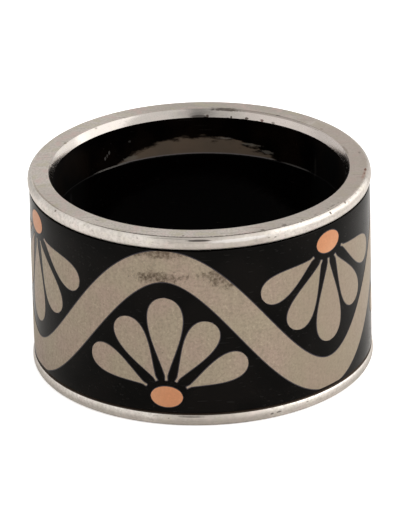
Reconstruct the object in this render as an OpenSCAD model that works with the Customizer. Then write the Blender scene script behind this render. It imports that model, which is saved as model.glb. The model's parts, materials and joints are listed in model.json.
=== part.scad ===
// Wide straight band ring, lying on its lower rim with the finger opening upright.
// A metal frame of sleeve and two rims carries an enamel band outside and an enamel lining inside.
// The origin is the centre of the resting face, and +Z runs along the axis of the finger opening.

/* [Finger opening] */
// Diameter of the straight middle of the opening, where the finger bears
bore_d = 17; // [15:0.1:22]
// How far the opening widens from its middle to the rims, on the radius
comfort_rise = 0.1; // [0.07:0.01:0.2]
// Depth of the widening mouth below each end of the band
mouth_depth = 2.8; // [1.5:0.1:4]
// Height of the small shoulder where the straight middle begins
shoulder_h = 0.06; // [0.03:0.01:0.06]

/* [Band] */
// Width of the band, along the finger
band_w = 12; // [10:0.1:16]
// Thickness of the wall at the rims, from the opening to the outside
wall_t = 1.5; // [1.3:0.02:2]

/* [Rims] */
// Height of the round bead on the outside of each rim
bead_h = 0.82; // [0.7:0.02:1.2]
// Radius of the bead's outer corner
bead_corner_r = 0.38; // [0.24:0.02:0.4]
// Radius of the bead's corner beside the enamel
bead_foot_r = 0.22; // [0.05:0.01:0.25]
// Height of the bright strip on the inside of each rim
lip_h = 0.46; // [0.4:0.02:0.7]
// How far the inside strip leans outwards, from its foot to the flat face
lip_lean = 0.24; // [0.04:0.02:0.3]
// Distance of the fine seam line from the outside of the band
seam_inset = 0.2; // [0.18:0.02:0.3]
// Width of the fine seam line in the flat face
seam_w = 0.05; // [0.03:0.01:0.08]
// Depth of the fine seam line
seam_d = 0.1; // [0.06:0.01:0.14]

/* [Enamel] */
// Thickness of the outer enamel band
enamel_t = 0.36; // [0.25:0.01:0.4]
// How far the enamel lies below the crown of the bead
enamel_recess = 0.08; // [0.04:0.01:0.12]
// Radius of the outer enamel's edges
enamel_edge_r = 0.06; // [0.03:0.01:0.1]
// Thickness of the lining in the widening mouth
lining_t = 0.3; // [0.2:0.01:0.35]
// Gap between the enamel and the metal that holds it
fit_gap = 0.03; // [0.02:0.01:0.05]

/* [Hidden] */
$fn = 180;

// Step by which the lining stands in from the inside strip
face_step = 0.01;
bore_r = bore_d / 2;
lip_r = bore_r + comfort_rise;
outer_r = lip_r + wall_t;
enamel_r = outer_r - enamel_recess;
sleeve_outer_r = enamel_r - enamel_t - fit_gap;
sleeve_inner_r = lip_r + lining_t + fit_gap;
seam_r = outer_r - seam_inset;
lining_face_r = lip_r - face_step;
shoulder_top_r = bore_r + shoulder_h;
band_mid_z = band_w / 2;
// Overlap that joins two pieces of a section, or carries a cut past a face
over = 0.1;

// A rectangle in the section plane, given by its inner and outer radius and its lower and upper height.
module section_box(r0, r1, z0, z1) {
    translate([r0, z0])
        square([r1 - r0, z1 - z0]);
}

// A section disc, which rounds a corner.
module section_disc(r, z, radius) {
    translate([r, z])
        circle(r = radius);
}

// A section box whose two outer corners are round, with one radius above and one below.
module rounded_outside(r0, r1, z0, z1, upper_r, lower_r) {
    section_box(r0, r1 - upper_r, z1 - upper_r, z1);
    section_box(r0, r1, z0 + lower_r, z1 - upper_r);
    section_box(r0, r1 - lower_r, z0, z0 + lower_r);
    section_disc(r1 - upper_r, z1 - upper_r, upper_r);
    section_disc(r1 - lower_r, z0 + lower_r, lower_r);
}

// The waste in front of the leaning inside strip.
module lip_lean_waste() {
    foot_z = band_w - lip_h;
    slope = lip_lean / lip_h;
    polygon([
        [lip_r - over * slope, foot_z - over],
        [lip_r + lip_lean + over * slope, band_w + over],
        [lip_r - over, band_w + over],
        [lip_r - over, foot_z - over]
    ]);
}

// The upper rim in section: flat face, seam line, round bead outside and strip inside.
module rim_section() {
    mid_r = (sleeve_inner_r + sleeve_outer_r) / 2;
    difference() {
        union() {
            rounded_outside(mid_r, outer_r, band_w - bead_h, band_w, bead_corner_r, bead_foot_r);
            section_box(mid_r, seam_r - seam_w, band_w - bead_h, band_w);
            section_box(lip_r, mid_r + over, band_w - lip_h, band_w);
        }
        lip_lean_waste();
        section_box(seam_r - seam_w, seam_r, band_w - seam_d, band_w + over);
    }
}

// Repeats a section drawn at the upper end at the lower end of the band.
module both_ends() {
    children();
    translate([0, band_w])
        mirror([0, 1])
            children();
}

// Half of the lining in section: a straight middle, a small round shoulder and a widening mouth.
module lining_half_section() {
    crease_z = band_w - mouth_depth;
    lining_top_z = band_w - lip_h - fit_gap;
    back_r = lip_r + lining_t;
    section_box(shoulder_top_r, back_r, band_mid_z, crease_z);
    section_box(bore_r, back_r, band_mid_z, crease_z - shoulder_h);
    section_disc(shoulder_top_r, crease_z - shoulder_h, shoulder_h);
    polygon([
        [shoulder_top_r, crease_z - over],
        [back_r, crease_z - over],
        [back_r, lining_top_z],
        [lining_face_r, lining_top_z],
        [shoulder_top_r, crease_z]
    ]);
}

// Sleeve and both rims, soldered into one spool.
module metal_frame() {
    color("silver")
        rotate_extrude()
            union() {
                section_box(sleeve_inner_r, sleeve_outer_r, lip_h / 2, band_w - lip_h / 2);
                both_ends()
                    rim_section();
            }
}

// Black enamel round the outside, a little below the beads.
module enamel_band() {
    low_z = bead_h + fit_gap;
    color([0.04, 0.04, 0.045])
        rotate_extrude()
            rounded_outside(
                enamel_r - enamel_t, enamel_r, low_z, band_w - low_z, enamel_edge_r, enamel_edge_r
            );
}

// Black enamel inside, with a comfort shape.
module inner_lining() {
    color([0.03, 0.03, 0.03])
        rotate_extrude()
            both_ends()
                lining_half_section();
}

metal_frame();
enamel_band();
inner_lining();
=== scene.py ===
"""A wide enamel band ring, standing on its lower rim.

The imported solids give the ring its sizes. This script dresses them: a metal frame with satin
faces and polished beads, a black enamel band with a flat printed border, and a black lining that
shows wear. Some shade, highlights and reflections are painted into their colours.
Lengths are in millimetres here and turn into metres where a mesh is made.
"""

import json
import logging
import math
from collections.abc import Callable, Sequence
from dataclasses import dataclass, field
from enum import Enum

import bpy
import numpy as np
from mathutils import Matrix, Vector


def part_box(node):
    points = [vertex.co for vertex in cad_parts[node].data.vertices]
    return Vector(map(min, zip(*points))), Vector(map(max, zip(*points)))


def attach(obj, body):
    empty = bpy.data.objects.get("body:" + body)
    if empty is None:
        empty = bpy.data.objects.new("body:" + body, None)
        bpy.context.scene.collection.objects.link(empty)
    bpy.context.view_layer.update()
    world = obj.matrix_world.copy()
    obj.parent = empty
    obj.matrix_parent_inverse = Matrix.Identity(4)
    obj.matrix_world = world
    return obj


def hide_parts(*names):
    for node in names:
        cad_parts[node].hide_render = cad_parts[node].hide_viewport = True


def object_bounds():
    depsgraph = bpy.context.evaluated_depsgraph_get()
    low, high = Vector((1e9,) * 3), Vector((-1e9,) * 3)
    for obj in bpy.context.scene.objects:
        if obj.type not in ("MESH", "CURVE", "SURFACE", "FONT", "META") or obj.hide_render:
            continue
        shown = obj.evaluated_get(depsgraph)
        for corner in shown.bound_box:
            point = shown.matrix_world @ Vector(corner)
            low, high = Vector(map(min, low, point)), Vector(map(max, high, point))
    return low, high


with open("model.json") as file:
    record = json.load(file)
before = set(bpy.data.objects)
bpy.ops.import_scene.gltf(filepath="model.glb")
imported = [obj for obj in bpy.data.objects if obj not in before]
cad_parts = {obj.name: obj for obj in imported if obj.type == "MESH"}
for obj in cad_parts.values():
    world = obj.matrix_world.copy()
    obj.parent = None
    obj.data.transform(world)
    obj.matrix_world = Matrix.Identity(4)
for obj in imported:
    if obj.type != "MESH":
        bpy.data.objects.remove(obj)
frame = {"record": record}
CAD_LOW, CAD_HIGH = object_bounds()

LOG = logging.getLogger("band_ring")
MM = 0.001
PER_METRE = 1000.0
FULL_TURN = 2.0 * math.pi

# Sizes that the boxes of the solids don't tell, in millimetres
COMFORT_RISE = 0.1
LINING_THICKNESS = 0.3
ENAMEL_THICKNESS = 0.36
FIT_GAP = 0.03
FACE_STEP = 0.01

# Angles in degrees above which an edge is sharp
TURNED_CREASE = 30.0
PRINT_CREASE = 40.0

# Value round which a noise swings
NOISE_MIDDLE = 0.5

# Half of the least width of a printed stroke, in millimetres
THINNEST = 0.004

# Kinds of socket that a node group can have
NUMBER = "NodeSocketFloat"
VECTOR = "NodeSocketVector"

Colour = tuple[float, float, float]
Place = tuple[float, float, float]
Point = tuple[float, float]
Curve = Callable[[np.ndarray], np.ndarray]


def node_box_mm(node: str) -> tuple[Vector, Vector]:
    """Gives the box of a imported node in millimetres.

    Args:
        node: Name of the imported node.

    Returns:
        The lowest and the highest corner.
    """
    low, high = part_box(node)
    return low * PER_METRE, high * PER_METRE


# Meshes


class Skin(Enum):
    """The part of a turned piece that a face belongs to, in the order of its material slots."""

    FLAT = 0
    BEAD = 1
    STRIP = 2
    GAP = 3
    SEAM = 4


@dataclass
class Section:
    """The outline of a turned piece, drawn point by point in radius and height.

    Attributes:
        points: Radius and height of each point, in millimetres.
        skins: Part of the piece that the stretch after each point belongs to.
    """

    points: list[Point] = field(default_factory=list)
    skins: list[Skin] = field(default_factory=list)

    def line(self, radius: float, height: float, skin: Skin) -> None:
        """Adds one point, whose stretch onwards has the given skin."""
        self.points.append((radius, height))
        self.skins.append(skin)

    def arc(self, centre: Point, radius: float, start: float, end: float, skin: Skin, steps: int) -> None:
        """Adds a round stretch.

        Args:
            centre: Radius and height of the arc's centre.
            radius: Radius of the arc.
            start: Angle in degrees where it starts, from outwards towards up.
            end: Angle in degrees where it ends.
            skin: Part of the piece that it belongs to.
            steps: Number of stretches.
        """
        for step in range(steps + 1):
            angle = math.radians(start + (end - start) * step / steps)
            spot = (centre[0] + radius * math.cos(angle), centre[1] + radius * math.sin(angle))
            self.line(spot[0], spot[1], skin)


@dataclass(frozen=True)
class Dent:
    """A small knock in a turned surface.

    Attributes:
        around: Angle round the ring in degrees, 0 at the front and 90 at the right.
        radius: Radius of its centre, in millimetres.
        height: Height of its centre.
        reach: How far it spreads.
        depth: How deep it goes.
        stretch: How much longer it is round the ring than across.
    """

    around: float
    radius: float
    height: float
    reach: float
    depth: float
    stretch: float = 1.0


def mesh_object(
    name: str,
    vertices: np.ndarray,
    faces: Sequence[Sequence[int]],
    material_index: Sequence[int] | None = None,
    crease: float | None = None,
) -> bpy.types.Object:
    """Makes a smooth-shaded mesh object from millimetre vertices.

    Args:
        name: Name of the piece.
        vertices: One row of x, y and z for each vertex.
        faces: Vertex indices of each face.
        material_index: Material slot of each face.
        crease: Angle in degrees above which an edge is sharp.

    Returns:
        The new object, at the origin.
    """
    mesh = bpy.data.meshes.new(name)
    mesh.from_pydata((vertices * MM).tolist(), [], faces)
    mesh.update()
    if material_index is not None:
        mesh.polygons.foreach_set("material_index", list(material_index))
    mesh.polygons.foreach_set("use_smooth", [True] * len(mesh.polygons))
    if crease is not None:
        mesh.set_sharp_from_angle(angle=math.radians(crease))
    piece = bpy.data.objects.new(name, mesh)
    bpy.context.scene.collection.objects.link(piece)
    return piece


def turned_piece(
    name: str, section: Section, segments: int, dents: Sequence[Dent] = ()
) -> bpy.types.Object:
    """Revolves a closed section about the ring's axis.

    Args:
        name: Name of the piece.
        section: The closed outline, anticlockwise in radius and height.
        segments: Number of steps round the ring.
        dents: Knocks pressed into the surface.

    Returns:
        The new object.
    """
    outline = np.array(section.points)
    count = len(outline)
    angles = np.arange(segments) * FULL_TURN / segments
    radius = np.broadcast_to(outline[:, 0], (segments, count)).copy()
    height = np.broadcast_to(outline[:, 1], (segments, count)).copy()
    before, after = np.roll(outline, 1, axis=0), np.roll(outline, -1, axis=0)
    along = after - before
    along /= np.linalg.norm(along, axis=1, keepdims=True)
    inward = np.stack([-along[:, 1], along[:, 0]], axis=1)
    for dent in dents:
        turn = (angles - math.radians(dent.around) + math.pi) % FULL_TURN - math.pi
        arc = turn * dent.radius / dent.stretch
        away = np.hypot(outline[:, 0] - dent.radius, outline[:, 1] - dent.height)
        press = dent.depth * np.exp(-(arc[:, None] ** 2 + away[None, :] ** 2) / dent.reach**2)
        radius += press * inward[None, :, 0]
        height += press * inward[None, :, 1]
    x = radius * np.sin(angles)[:, None]
    y = -radius * np.cos(angles)[:, None]
    vertices = np.stack([x, y, height], axis=2).reshape(-1, 3)
    faces = []
    skins = []
    for turn_step in range(segments):
        near = turn_step * count
        far = (turn_step + 1) % segments * count
        for spot in range(count):
            following = (spot + 1) % count
            faces.append((near + spot, far + spot, far + following, near + following))
            skins.append(section.skins[spot].value)
    return mesh_object(name, vertices, faces, skins, crease=TURNED_CREASE)


# Shader nodes


@dataclass
class NodeKit:
    """Adds and links the nodes of one node tree.

    Attributes:
        tree: The node tree that it works on.
    """

    tree: bpy.types.NodeTree

    def add(self, kind: str, **settings: object) -> bpy.types.Node:
        """Adds a node and sets its properties.

        Args:
            kind: Type name of the node.
            **settings: A value for each property that is set.

        Returns:
            The new node.
        """
        node = self.tree.nodes.new(kind)
        for name, value in settings.items():
            setattr(node, name, value)
        return node

    def feed(self, socket: bpy.types.NodeSocket, value: object) -> None:
        """Links a socket to an input, or sets the input to a plain value.

        Args:
            socket: The input.
            value: The socket to link, or the number, vector or colour to set.
        """
        if isinstance(value, bpy.types.NodeSocket):
            self.tree.links.new(value, socket)
        elif isinstance(value, tuple) and len(value) == 3 and socket.type == "RGBA":
            socket.default_value = (*value, 1.0)
        else:
            socket.default_value = value

    def maths(
        self, operation: str, first: object, second: object = 0.0, clamp: bool = False
    ) -> bpy.types.NodeSocket:
        """Works out one arithmetic step.

        Args:
            operation: Name of the operation.
            first: First number or socket.
            second: Second number or socket.
            clamp: Whether the result stays between 0 and 1.

        Returns:
            The socket that holds the result.
        """
        node = self.add("ShaderNodeMath", operation=operation, use_clamp=clamp)
        self.feed(node.inputs[0], first)
        self.feed(node.inputs[1], second)
        return node.outputs[0]

    def times(self, first: object, second: object) -> bpy.types.NodeSocket:
        """Multiplies two numbers or sockets."""
        return self.maths("MULTIPLY", first, second)

    def minus(self, first: object, second: object) -> bpy.types.NodeSocket:
        """Takes the second number or socket from the first."""
        return self.maths("SUBTRACT", first, second)

    def plus(self, base: object, extra: object, weight: float = 1.0) -> bpy.types.NodeSocket:
        """Adds a value to another, with a weight where one is given."""
        return self.maths("ADD", base, extra if weight == 1.0 else self.times(extra, weight))

    def ramp(
        self, value: object, low: float, high: float, start: float = 0.0, end: float = 1.0
    ) -> bpy.types.NodeSocket:
        """Maps a stretch of values smoothly to another.

        Args:
            value: The number or socket to map.
            low: Value that becomes start.
            high: Value that becomes end.
            start: Result at low.
            end: Result at high.

        Returns:
            The socket that holds the result.
        """
        node = self.add("ShaderNodeMapRange", interpolation_type="SMOOTHSTEP")
        for socket, number in zip(node.inputs[:5], (value, low, high, start, end)):
            self.feed(socket, number)
        return node.outputs[0]

    def noise(
        self, vector: object, scale: object, detail: float = 3.0, roughness: float = 0.55
    ) -> bpy.types.NodeSocket:
        """Adds a noise texture and gives its value.

        Args:
            vector: Where the texture is read.
            scale: Fineness of the texture, in spots to the unit.
            detail: Number of finer layers.
            roughness: Weight of the finer layers.

        Returns:
            The socket that holds the noise, from 0 to 1.
        """
        node = self.add("ShaderNodeTexNoise")
        inputs = {"Vector": vector, "Scale": scale, "Detail": detail, "Roughness": roughness}
        for name, value in inputs.items():
            self.feed(node.inputs[name], value)
        return node.outputs["Fac"]

    def stretched(self, vector: object, factors: Place) -> bpy.types.NodeSocket:
        """Multiplies a vector part by part, so that a texture on it is drawn out.

        Args:
            vector: The vector's socket.
            factors: One factor for each part, small where the texture is drawn out.

        Returns:
            The socket that holds the new vector.
        """
        node = self.add("ShaderNodeVectorMath", operation="MULTIPLY")
        self.feed(node.inputs[0], vector)
        node.inputs[1].default_value = factors
        return node.outputs[0]

    def mix(self, factor: object, first: object, second: object) -> bpy.types.NodeSocket:
        """Mixes two colours.

        Args:
            factor: How much of the second there is, from 0 to 1.
            first: Colour or socket at 0.
            second: Colour or socket at 1.

        Returns:
            The socket that holds the mixed colour.
        """
        node = self.add("ShaderNodeMix", data_type="RGBA")
        number, colour_from, colour_to = node.inputs[0], node.inputs[6], node.inputs[7]
        self.feed(number, factor)
        self.feed(colour_from, first)
        self.feed(colour_to, second)
        return node.outputs[2]

    def use(self, group: bpy.types.NodeTree, **values: object) -> bpy.types.Node:
        """Places a node group and feeds its inputs.

        Args:
            group: The group to place.
            **values: A value or socket for each input, with spaces as underscores.

        Returns:
            The group's node.
        """
        node = self.add("ShaderNodeGroup")
        node.node_tree = group
        for name, value in values.items():
            self.feed(node.inputs[name.replace("_", " ")], value)
        return node


def new_group(
    name: str, inputs: dict[str, float | None], outputs: dict[str, str]
) -> tuple[NodeKit, bpy.types.Node, bpy.types.Node]:
    """Starts a shader node group with named sockets.

    Args:
        name: Name of the group.
        inputs: Each input's name with its default number, or None for a vector.
        outputs: Each output's name with its socket type.

    Returns:
        The group's node kit, its input node and its output node.
    """
    tree = bpy.data.node_groups.new(name, "ShaderNodeTree")
    for label, default in inputs.items():
        kind = VECTOR if default is None else NUMBER
        socket = tree.interface.new_socket(label, in_out="INPUT", socket_type=kind)
        if default is not None:
            socket.default_value = default
    for label, kind in outputs.items():
        tree.interface.new_socket(label, in_out="OUTPUT", socket_type=kind)
    kit = NodeKit(tree)
    return kit, kit.add("NodeGroupInput"), kit.add("NodeGroupOutput")


@dataclass(frozen=True)
class Effects:
    """The node groups that several finishes share.

    Attributes:
        place: Gives a point's place on the ring.
        grain: Fine uneven grain.
        scratches: Fine hairline scratches.
        specks: Sparse small pits or grit.
        patch: A soft-edged patch at a place round the ring.
    """

    place: bpy.types.NodeTree
    grain: bpy.types.NodeTree
    scratches: bpy.types.NodeTree
    specks: bpy.types.NodeTree
    patch: bpy.types.NodeTree


def place_group() -> bpy.types.NodeTree:
    """Builds the group that tells where a point is on the ring.

    Millimetres is its plain place, Degrees its turn from the front, and Turned its radius with the
    sine and cosine of the turn, on which a texture runs round the ring without a seam.

    Returns:
        The group's node tree.
    """
    outputs = {
        "Millimetres": VECTOR,
        "Degrees": NUMBER,
        "Height": NUMBER,
        "Radius": NUMBER,
        "Turned": VECTOR,
    }
    kit, _, out = new_group("place_on_ring", {}, outputs)
    where = kit.add("ShaderNodeTexCoord").outputs["Object"]
    scale = kit.add("ShaderNodeVectorMath", operation="SCALE")
    kit.feed(scale.inputs[0], where)
    scale.inputs["Scale"].default_value = PER_METRE
    spot = scale.outputs[0]
    parts = kit.add("ShaderNodeSeparateXYZ")
    kit.feed(parts.inputs[0], spot)
    x, y, z = parts.outputs
    turn = kit.maths("ARCTAN2", x, kit.times(y, -1.0))
    radius = kit.maths("SQRT", kit.plus(kit.maths("POWER", x, 2.0), kit.maths("POWER", y, 2.0)))
    turned = kit.add("ShaderNodeCombineXYZ")
    around = (radius, kit.maths("SINE", turn), kit.maths("COSINE", turn))
    for socket, part in zip(turned.inputs, around):
        kit.feed(socket, part)
    results = (spot, kit.maths("DEGREES", turn), z, radius, turned.outputs[0])
    for name, result in zip(outputs, results):
        kit.feed(out.inputs[name], result)
    return kit.tree


def grain_group() -> bpy.types.NodeTree:
    """Builds the group for fine uneven grain, as a mask round one half, and for broad blotches.

    Returns:
        The group's node tree.
    """
    kit, given, out = new_group(
        "fine_grain", {"Vector": None, "Scale": 10.0, "Blotch": 0.8}, {"Mask": NUMBER, "Broad": NUMBER}
    )
    spot, fineness, blotch = given.outputs["Vector"], given.outputs["Scale"], given.outputs["Blotch"]
    fine = kit.noise(spot, fineness, detail=5.0, roughness=0.65)
    broad = kit.noise(spot, blotch, detail=2.0, roughness=0.5)
    kit.feed(out.inputs["Mask"], fine)
    kit.feed(out.inputs["Broad"], kit.ramp(broad, low=0.35, high=0.68))
    return kit.tree


def scratches_group() -> bpy.types.NodeTree:
    """Builds the group for straight hairline scratches: long thin spots of a much drawn-out noise.

    Returns:
        The group's node tree.
    """
    kit, given, out = new_group(
        "hairline_scratches", {"Vector": None, "Scale": 1.0, "Amount": 0.3}, {"Mask": NUMBER}
    )
    ways = ((0.3, 0.5, 0.2), (1.1, -0.7, 0.9), (-0.6, 0.2, 1.7))
    drawn_out = (0.55, 9.0, 9.0)
    least_of_none, fall = 0.92, -0.25
    least = kit.plus(least_of_none, given.outputs["Amount"], fall)
    marks = None
    for way in ways:
        lay = kit.add("ShaderNodeMapping")
        kit.feed(lay.inputs["Vector"], given.outputs["Vector"])
        lay.inputs["Rotation"].default_value = way
        lay.inputs["Scale"].default_value = drawn_out
        spots = kit.noise(lay.outputs[0], given.outputs["Scale"], detail=0.0)
        mark = kit.maths("GREATER_THAN", spots, least)
        marks = mark if marks is None else kit.maths("MAXIMUM", marks, mark)
    kit.feed(out.inputs["Mask"], marks)
    return kit.tree


def specks_group() -> bpy.types.NodeTree:
    """Builds the group for sparse small pits: the hearts of a few cells, chosen by chance.

    Returns:
        The group's node tree.
    """
    kit, given, out = new_group(
        "sparse_specks", {"Vector": None, "Scale": 2.0, "Size": 0.12, "Share": 0.2}, {"Mask": NUMBER}
    )
    smallest = 0.3
    cells = kit.add("ShaderNodeTexVoronoi")
    kit.feed(cells.inputs["Vector"], given.outputs["Vector"])
    kit.feed(cells.inputs["Scale"], given.outputs["Scale"])
    chance = kit.add("ShaderNodeSeparateColor")
    kit.feed(chance.inputs[0], cells.outputs["Color"])
    chosen = kit.maths("LESS_THAN", chance.outputs[0], given.outputs["Share"])
    size = kit.times(given.outputs["Size"], kit.plus(chance.outputs[1], smallest))
    inside = kit.maths("LESS_THAN", cells.outputs["Distance"], size)
    kit.feed(out.inputs["Mask"], kit.times(chosen, inside))
    return kit.tree


def patch_group() -> bpy.types.NodeTree:
    """Builds the group for a ragged patch at given degrees round the ring and at a given height.

    Returns:
        The group's node tree.
    """
    inputs = {
        "Vector": None,
        "Degrees": 0.0,
        "Height": 0.0,
        "At Degrees": 0.0,
        "At Height": 0.0,
        "Half Degrees": 10.0,
        "Half Height": 1.0,
        "Ragged": 0.5,
        "Scale": 3.0,
    }
    kit, given, out = new_group("ragged_patch", inputs, {"Mask": NUMBER})
    values = given.outputs
    edge, heart, full_swing = 1.0, 0.55, 4.0
    squares = []
    for way in ("Degrees", "Height"):
        off = kit.minus(values[way], values[f"At {way}"])
        squares.append(kit.maths("POWER", kit.maths("DIVIDE", off, values[f"Half {way}"]), 2.0))
    away = kit.maths("SQRT", kit.plus(*squares))
    rough = kit.noise(values["Vector"], values["Scale"], detail=6.0, roughness=0.7)
    swing = kit.times(kit.minus(rough, NOISE_MIDDLE), kit.times(values["Ragged"], full_swing))
    kit.feed(out.inputs["Mask"], kit.ramp(kit.plus(away, swing), edge, heart))
    return kit.tree


def build_effects() -> Effects:
    """Builds every shared node group once."""
    return Effects(place_group(), grain_group(), scratches_group(), specks_group(), patch_group())


@dataclass
class Surface:
    """A material in the making: its node kit, its shader and a point's place on the ring.

    Attributes:
        kit: Node kit of the material.
        shader: The material's Principled shader.
        place: The placed group that gives a point's place.
        material: The material itself.
    """

    kit: NodeKit
    shader: bpy.types.Node
    place: bpy.types.Node
    material: bpy.types.Material

    def bump(self, height: object, strength: float, distance_mm: float) -> None:
        """Feeds a height to the shader's normal through a Bump node.

        Args:
            height: Socket that holds the height, from 0 to 1.
            strength: How strongly it tells.
            distance_mm: Real height of a step from 0 to 1, in millimetres.
        """
        node = self.kit.add("ShaderNodeBump")
        node.inputs["Strength"].default_value = strength
        node.inputs["Distance"].default_value = distance_mm * MM
        self.kit.feed(node.inputs["Height"], height)
        self.kit.feed(self.shader.inputs["Normal"], node.outputs[0])

    def marked_and_lit(
        self,
        colour: object,
        marks_and_light: Sequence["Stain"],
        patch: bpy.types.NodeTree,
        across: str,
        speckle: object = 1.0,
    ) -> object:
        """Lays marks and painted light over a colour.

        Args:
            colour: Socket or value of the colour.
            marks_and_light: The marks, with the painted shade and highlights.
            patch: The group that makes a ragged patch.
            across: Whether a mark's place is given by "Height" or by "Radius".
            speckle: Socket or value that breaks the marks up.

        Returns:
            The socket that holds the colour with its marks.
        """
        kit, degrees = self.kit, self.place.outputs["Degrees"]
        all_round, quarter = 360.0, 90.0
        from_front = kit.maths("FLOORED_MODULO", degrees, all_round)
        for mark_or_light in marks_and_light:
            behind = abs(mark_or_light.around) > quarter
            spot = kit.use(
                patch,
                Vector=self.place.outputs["Millimetres"],
                Degrees=from_front if behind else degrees,
                Height=self.place.outputs[across],
                At_Degrees=mark_or_light.around % all_round if behind else mark_or_light.around,
                At_Height=mark_or_light.at,
                Half_Degrees=mark_or_light.half_around,
                Half_Height=mark_or_light.half_across,
                Ragged=mark_or_light.ragged,
                Scale=mark_or_light.scale,
            )
            cover = kit.times(spot.outputs[0], mark_or_light.strength)
            if mark_or_light.broken > 0.0:
                bare = kit.times(kit.minus(1.0, speckle), mark_or_light.broken)
                cover = kit.times(cover, kit.minus(1.0, bare))
            colour = kit.mix(cover, colour, mark_or_light.colour)
        return colour


def start_surface(name: str, effects: Effects, **values: object) -> Surface:
    """Makes a material with one Principled shader.

    Args:
        name: Name of the material.
        effects: The shared node groups.
        **values: Plain values of the shader's inputs, with spaces as underscores.

    Returns:
        The material in the making.
    """
    material = bpy.data.materials.new(name)
    material.use_nodes = True
    tree = material.node_tree
    tree.nodes.clear()
    kit = NodeKit(tree)
    shader = kit.add("ShaderNodeBsdfPrincipled")
    output = kit.add("ShaderNodeOutputMaterial")
    kit.feed(output.inputs["Surface"], shader.outputs[0])
    for label, value in values.items():
        kit.feed(shader.inputs[label.replace("_", " ")], value)
    return Surface(kit, shader, kit.use(effects.place), material)


# Finishes


@dataclass(frozen=True)
class Stain:
    """A mark on a finish, such as a discoloured spot, a nick or a rubbed patch; some marks are painted
    shade, highlights and reflections.

    Attributes:
        around: Degrees round the ring of its middle, 0 at the front and 90 at the right.
        at: Height of its middle, or its radius on a face that lies flat, in millimetres.
        half_around: Half of the degrees that it spans.
        half_across: Half of the height or radius that it spans.
        ragged: How ragged its edge is.
        strength: How much of the finish it covers.
        colour: Its colour.
        scale: Fineness of its edge.
        broken: How far it is broken up into speckles.
    """

    around: float
    at: float
    half_around: float
    half_across: float
    ragged: float = 0.3
    strength: float = 0.8
    colour: Colour = (0.05, 0.036, 0.028)
    scale: float = 6.0
    broken: float = 0.0


# Colours that several marks share, among them painted shade
UNDERCOAT = (0.085, 0.058, 0.036)
RUST = (0.16, 0.06, 0.03)
DARK_SEAM_SHADE = (0.08, 0.06, 0.05)
BROWN_SEAM_SHADE = (0.09, 0.07, 0.055)
SOFT_EDGE_SHADE = (0.12, 0.09, 0.07)
TAN_SEAM_SHADE = (0.30, 0.215, 0.15)
PAINTED_SHADE_GREY = (0.40, 0.37, 0.34)
PALE_FLECK = (0.12, 0.115, 0.11)
FAINT_FLECK = (0.10, 0.095, 0.09)

# The marks of each finish. The first four numbers of a row are the degrees round the ring, the height
# or radius, and half of the span each way. Marks on the sides that can't be seen match the others.
PRINT_SCUFFS_AND_SHADE: tuple[Stain, ...] = (
    # Rubbed places at the front, where the ribbon is highest
    Stain(-15.0, 9.45, 11.0, 0.42, ragged=0.6, strength=0.95, colour=UNDERCOAT, scale=1.7, broken=0.85),
    Stain(-14.0, 10.95, 13.0, 0.4, ragged=0.5, strength=0.9, colour=UNDERCOAT, scale=1.7, broken=0.85),
    Stain(9.0, 9.5, 10.0, 0.8, ragged=0.6, strength=0.9, colour=UNDERCOAT, scale=1.7, broken=0.85),
    # Smaller ones, right round the band
    Stain(38.0, 10.1, 6.0, 0.5, ragged=0.6, strength=0.5, colour=UNDERCOAT, scale=1.7, broken=0.85),
    Stain(150.0, 9.8, 12.0, 0.6, ragged=0.6, strength=0.7, colour=UNDERCOAT, scale=1.7, broken=0.85),
    Stain(-120.0, 10.3, 10.0, 0.5, ragged=0.6, strength=0.7, colour=UNDERCOAT, scale=1.7, broken=0.85),
    Stain(-162.0, 2.2, 9.0, 0.6, ragged=0.6, strength=0.6, colour=UNDERCOAT, scale=1.7, broken=0.85),
    # Painted shade: the print is darker on the right
    Stain(66.0, 6.0, 46.0, 14.0, ragged=0.1, strength=0.5, colour=(0.29, 0.235, 0.17), scale=1.0),
)

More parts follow.
